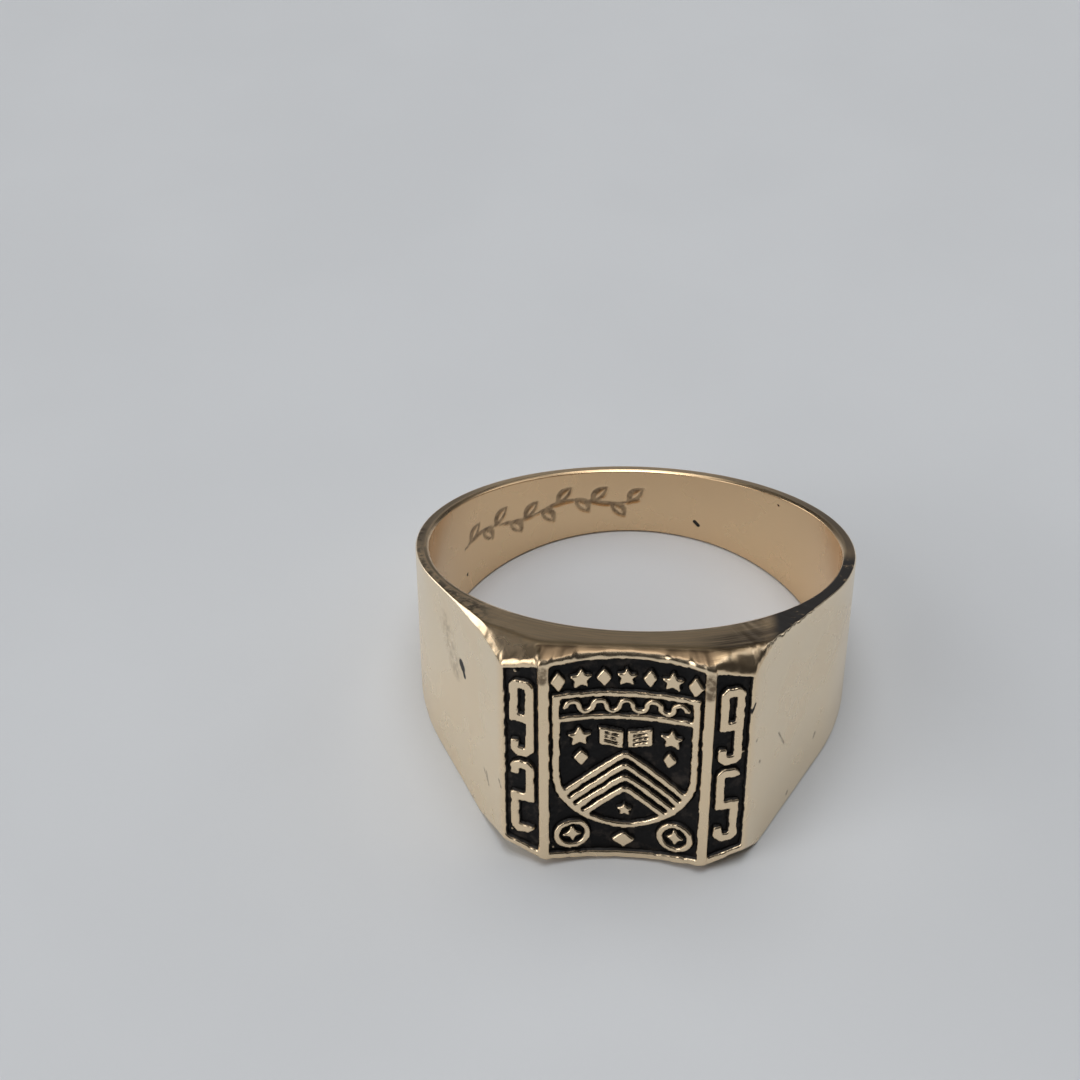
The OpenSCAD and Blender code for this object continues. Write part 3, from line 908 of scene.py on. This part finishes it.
def gold_finish(colours):
    """Pale cast gold: satin shoulders, brown edges that are partly tarnish and partly painted shade,
    painted shade on the head's bevel and in a band on the right of the top edge, soot on the right edge,
    black in its corners.
    """
    f = Finish("pale_cast_gold")
    place = f.place()
    x, y, z = f.parts(place)
    turn = f.maths("ARCTAN2", y, x)
    radius = f.maths("SQRT", x * x + y * y)

    def span(wire, low, high):
        """A soft rise between two places in millimetres."""
        return f.rise(wire, low * MM, high * MM)

    def off_bore(low, high):
        """A soft rise between two distances from the bore, in millimetres."""
        return f.rise(radius, HOLE_RADIUS + low * MM, HOLE_RADIUS + high * MM)

    def tinted(under, share, shade):
        return f.mix(share, under, opaque(shade))

    normal = f.wire("ShaderNodeTexCoord", {}, {}, 1)
    up = f.vector("DOT_PRODUCT", normal, HOLE["axis"], output=1)
    on_edge = f.rise(f.maths("ABSOLUTE", up), 0.8, 0.93)
    above = f.rise(up, 0.3, 0.6)
    in_bore = off_bore(0.18, 0.1)
    on_front = span(y, -10.9, -11.3)
    sunk = f.stored("sunk")
    cut = f.stored("cut")
    cloud = f.noise(place, 350.0, 3.0, 0.55)
    mottle = f.noise(place, 2300.0, 4.0, 0.65)
    fine = f.noise(place, 6500.0, 3.0, 0.6)
    streaks = f.noise(f.join(turn * 5.0, radius * 7000.0, z * 900.0), 1.0, 3.0, 0.6)
    round_lines = f.noise(f.join(turn * 6.0, radius * 300.0, z * 6000.0), 1.0, 3.0, 0.6)

    base = f.mix(f.rise(cloud, 0.35, 0.7) * 0.3, opaque(colours.gold), opaque(colours.warm_gold))
    base = tinted(base, on_front * 0.6, colours.warm_gold)
    base = tinted(base, in_bore, colours.bore_gold)
    light = f.stored("light")
    # Edge colour: partly real brown tarnish and brushing, partly painted shade for the edges' dark
    # reflection; the painted darkening grows with the streaks and towards the right.
    brown = f.clamp(on_edge * (1 - sunk) * (1 - in_bore) * (1 - 0.6 * light))
    darker = f.rise(streaks, 0.3, 0.7) * 0.22 + span(x, 1.0, 7.0) * 0.3
    edge_tarnish_and_painted_shade = f.mix(darker, opaque(colours.edge_gold), opaque(colours.tarnish_and_shade))
    base = f.mix(brown, base, edge_tarnish_and_painted_shade)
    base = tinted(base, light * 0.65, colours.bore_gold)

    # Painted shade: the head's bevel above the face is darkened in the tarnish colour, standing in for its
    # dark reflection.
    bevel = f.rise(up, 0.6, 0.8) * span(y, -11.05, -11.2) * span(x, 4.0, 3.2)
    base = tinted(base, bevel * (1 - 0.7 * light) * 0.9, colours.tarnish_and_shade)
    line = off_bore(0.12, 0.17)
    line = line * off_bore(0.3, 0.22)
    line = line * above * span(y, 1.0, -3.0) * f.rise(cloud, 0.3, 0.45)
    base = tinted(base, line * 0.6, colours.tarnish_and_shade)
    # Painted shade: a streaky dark band along the outer part of the top edge, right of the face.
    painted_shadow_band = off_bore(0.7, 1.2) * span(x, 2.6, 4.2)
    painted_shadow_band = painted_shadow_band * on_edge * above * (1 - light) * f.rise(streaks, 0.25, 0.6)
    base = tinted(base, painted_shadow_band * 0.75, colours.tarnish_and_shade)
    rim_shade = off_bore(0.17, 0.3) * on_edge * above
    rim_shade = rim_shade * span(f.maths("ABSOLUTE", x), 6.5, 9.3) * span(y, -2.5, 0.0)
    base = tinted(base, rim_shade * 0.6, colours.tarnish_and_shade)
    soot = above * on_edge * span(x, 5.3, 6.3) * span(y, 0.6, -1.6)
    soot = soot * f.rise(mottle + (cloud - 0.5) * 0.5, 0.2, 0.36)
    outer = off_bore(0.2, 0.5)
    smut = above * on_edge * outer * span(x, -5.6, -6.6) * span(y, 3.0, 0.0)
    smut = smut * f.rise(mottle, 0.42, 0.6) * 0.8
    corner = add_marks(f, place, CORNER_SMUT)
    smut = f.maths("MAXIMUM", smut, corner * f.rise(mottle, 0.5, 0.68) * 0.3)
    pits = add_marks(f, place, SHOULDER_PITS)
    nicks = add_marks(f, place, SHOULDER_NICKS) * f.rise(fine, 0.3, 0.5)
    bore_pits = add_marks(f, place, BORE_MARKS) * in_bore
    worn = add_marks(f, place, WORN_PATCH) * f.rise(mottle, 0.35, 0.65) * (1 - on_edge)
    ink = f.rise(cut, 0.15, 0.95) * (0.6 + 0.4 * f.rise(mottle, 0.4, 0.65)) * in_bore
    base = tinted(base, worn * 0.3, colours.tarnish_and_shade)
    stain = add_marks(f, place, BAR_STAINS) * f.rise(mottle, 0.3, 0.6)
    base = tinted(base, stain * 0.85, colours.tarnish_and_shade)
    base = tinted(base, f.clamp(smut + pits * 0.9 + nicks * 0.6 + ink * 0.75), colours.tarnish_and_shade)
    black = f.rise(sunk + (fine - 0.5) * 0.25, 0.1, 0.26)
    filled = f.rise(f.maths("MAXIMUM", pits, bore_pits), 0.4, 0.7)
    black = f.maths("MAXIMUM", black, f.maths("MAXIMUM", soot, filled))
    black = f.maths("MAXIMUM", black, ink * 0.22)
    base = tinted(base, black, colours.soot)
    rough = 0.27 + 0.12 * (cloud - 0.5) + 0.06 * brown + 0.3 * black + 0.12 * worn
    height = streaks * brown * 0.35 + round_lines * in_bore * 0.4 + fine * 0.12
    height = height - 6 * pits - 3 * nicks - 4 * bore_pits + mottle * (soot + smut + light * 0.8) * 2
    return f.surface(
        Base_Color=base,
        Metallic=1 - 0.95 * black,
        Roughness=f.clamp(rough),
        Normal=f.bump(height, 0.35, 0.012 * MM),
    )


def fill_finish(colours):
    """Dull black fill with worn, dusty patches."""
    f = Finish("dull_black_fill")
    place = f.place()
    patches = f.noise(place, 1500.0, 4.0, 0.6)
    grain = f.noise(place, 9000.0, 2.0, 0.6)
    dusty = f.rise(patches, 0.5, 0.68) * 0.9
    return f.surface(
        Base_Color=f.mix(dusty, opaque(colours.fill), opaque(colours.dust)),
        Roughness=f.clamp(0.5 + 0.35 * (patches - 0.5) + 0.2 * (grain - 0.5)),
        Specular_IOR_Level=0.18,
        Normal=f.bump(patches + grain * 0.3, 0.5, 0.03 * MM),
    )


def table_finish(colours):
    """A plain pale table with a faint, even grain."""
    f = Finish("pale_table")
    place = f.place()
    soft = f.noise(place, 60.0, 3.0, 0.5)
    grain = f.noise(place, 2600.0, 2.0, 0.5)
    r, g, b = colours.table
    darker = (r * 0.965, g * 0.965, b * 0.965, 1.0)
    shade = f.mix(f.rise(soft, 0.35, 0.65) * 0.7 + (grain - 0.5) * 0.2, opaque(colours.table), darker)
    return f.surface(
        Base_Color=shade,
        Roughness=0.62,
        Specular_IOR_Level=0.25,
        Normal=f.bump(grain, 0.25, 0.02 * MM),
    )


SKIN = {}


def ring_skin():
    """The skin is worked out once and shared by the gold and the fill."""
    if "skin" not in SKIN:
        SKIN["skin"] = Skin(bpy.context.scene.ring_sizes)
    return SKIN["skin"]


class RING_OT_gold(Operator):
    """Builds the gold casting as one fine skin over its solid"""

    bl_idname = "ring.gold"
    bl_label = "Gold Casting"

    def execute(self, context):
        skin = ring_skin()
        casting = skin.build()
        for name in ("sunk", "cut", "light"):
            keep_numbers(casting, name, skin.gather(name))
        casting.data.materials.append(gold_finish(context.scene.ring_colours))
        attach(casting, "root")
        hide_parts(GOLD_SOLID)
        return {"FINISHED"}


class RING_OT_fill(Operator):
    """Builds the black fill of the three recessed panels"""

    bl_idname = "ring.fill"
    bl_label = "Black Fill"

    def execute(self, context):
        skin = ring_skin()
        form = skin.form
        finish = fill_finish(context.scene.ring_colours)
        middle = form.round_length / 2
        points = form.at(skin.face.places)[0]
        left_bar = skin.face.places[np.argmin(np.abs(points[:, 0] + form.sizes.bar_place))]
        left_end = form.corner_place - FACE_MARGIN
        spans = (
            (left_end, left_bar),
            (left_bar, 2 * middle - left_bar),
            (2 * middle - left_bar, 2 * middle - left_end),
        )
        for solid, (low, high) in zip(FILL_SOLIDS, spans):
            pool = skin.fill(solid.replace("enamel", "black_fill"), low, high)
            pool.data.materials.append(finish)
            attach(pool, "root")
            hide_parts(solid)
        return {"FINISHED"}


TABLE_SIZE = 4.0
SOFT_LIGHTS = (
    ("near_window_light", 12, -120, 0.55),
    ("far_window_light", 12, -60, 0.6),
    ("left_light", 38, -120, 0.52),
    ("right_light", 38, 60, 0.3),
    ("back_light", 64, 0, 0.48),
    ("ceiling_light", 90, 0, 1.18),
)
LIGHT_SOFTNESS = math.radians(36)
ROOM_GLOW = (0.02, 0.02, 0.021, 1)
BACKDROP = (0.5, 0.51, 0.53, 1)
CAMERA_LENS = 60.0
CAMERA_SENSOR = 36.0
CAMERA_NEAR = 1 * MM
CAMERA_TILT = math.radians(32.55)
CAMERA_ROLL = math.radians(-0.36)
CAMERA_TURN = math.radians(-4.31)
CAMERA_OFFSET = (4.41 * MM, 3.10 * MM, 85.38 * MM)


class RING_OT_stage(Operator):
    """Lays the pale table under the ring, and sets the soft light and the camera"""

    bl_idname = "ring.stage"
    bl_label = "Table, Light and Camera"

    def execute(self, context):
        self.add_table(context)
        self.add_lights()
        self.add_room(context)
        self.add_camera(context)
        context.scene.view_settings.view_transform = "Standard"
        return {"FINISHED"}

    def add_table(self, context):
        half = TABLE_SIZE / 2
        corners = [(-half, -half, 0), (half, -half, 0), (half, half, 0), (-half, half, 0)]
        mesh = bpy.data.meshes.new("table")
        mesh.from_pydata(corners, [], [(0, 1, 2, 3)])
        mesh.materials.append(table_finish(context.scene.ring_colours))
        table = linked("table", mesh)

    def add_lights(self):
        """Wide soft lights, as from a pale room with a window on the left."""
        for name, height, heading, strength in SOFT_LIGHTS:
            data = bpy.data.lights.new(name, "SUN")
            data.energy = strength
            data.angle = LIGHT_SOFTNESS
            light = linked(name, data)
            level = math.cos(math.radians(height))
            towards = (
                level * math.sin(math.radians(heading)),
                level * math.cos(math.radians(heading)),
                math.sin(math.radians(height)),
            )
            light.rotation_euler = (-Vector(towards)).to_track_quat("-Z", "Y").to_euler()

    def add_room(self, context):
        """Faint light from all round, and a pale wall to look at behind the table."""
        world = bpy.data.worlds.new("soft_room")
        world.use_nodes = True
        tree = world.node_tree
        seen = tree.nodes.new("ShaderNodeLightPath")
        shade = tree.nodes.new("ShaderNodeMix")
        shade.data_type = "RGBA"
        shade.inputs[6].default_value = ROOM_GLOW
        shade.inputs[7].default_value = BACKDROP
        tree.links.new(seen.outputs["Is Camera Ray"], shade.inputs[0])
        tree.links.new(shade.outputs[2], tree.nodes["Background"].inputs[0])
        context.scene.world = world

    def add_camera(self, context):
        """The camera in front of and above the ring, placed in the frame of the finger hole."""
        tilt = CAMERA_TILT
        right = Vector((1, 0, 0))
        down = Vector((0, -math.sin(tilt), -math.cos(tilt)))
        ahead = Vector((0, math.cos(tilt), -math.sin(tilt)))
        view = Matrix.Rotation(CAMERA_ROLL, 3, "Z") @ Matrix((right, down, ahead))
        view = view @ Matrix.Rotation(CAMERA_TURN, 3, "Z")
        place = -(view.transposed() @ Vector(CAMERA_OFFSET))
        turned = Matrix((view[0], -view[1], -view[2])).transposed().to_4x4()
        data = bpy.data.cameras.new("camera")
        data.lens = CAMERA_LENS
        data.sensor_width = CAMERA_SENSOR
        data.clip_start = CAMERA_NEAR
        camera = linked("camera", data)
        camera.matrix_world = TO_WORLD @ Matrix.Translation(place) @ turned
        context.scene.camera = camera


class RING_PT_panel(Panel):
    """The ring's steps in the sidebar"""

    bl_idname = "RING_PT_panel"
    bl_label = "Class Ring"
    bl_space_type = "VIEW_3D"
    bl_region_type = "UI"
    bl_category = "Ring"

    def draw(self, context):
        for group in (context.scene.ring_sizes, context.scene.ring_colours):
            box = self.layout.box()
            for name in group.bl_rna.properties.keys():
                if name not in ("rna_type", "name"):
                    box.prop(group, name)
        for operator in OPERATORS:
            self.layout.operator(operator.bl_idname)


GROUPS = (RingSizes, RingColours)
OPERATORS = (RING_OT_gold, RING_OT_fill, RING_OT_stage)


def register():
    for made in (*GROUPS, *OPERATORS, RING_PT_panel):
        bpy.utils.register_class(made)
    bpy.types.Scene.ring_sizes = PointerProperty(type=RingSizes)
    bpy.types.Scene.ring_colours = PointerProperty(type=RingColours)


def unregister():
    del bpy.types.Scene.ring_colours
    del bpy.types.Scene.ring_sizes
    for made in reversed((*GROUPS, *OPERATORS, RING_PT_panel)):
        bpy.utils.unregister_class(made)


def main():
    register()
    bpy.ops.ring.gold()
    bpy.ops.ring.fill()
    bpy.ops.ring.stage()


if __name__ == "__main__":
    main()
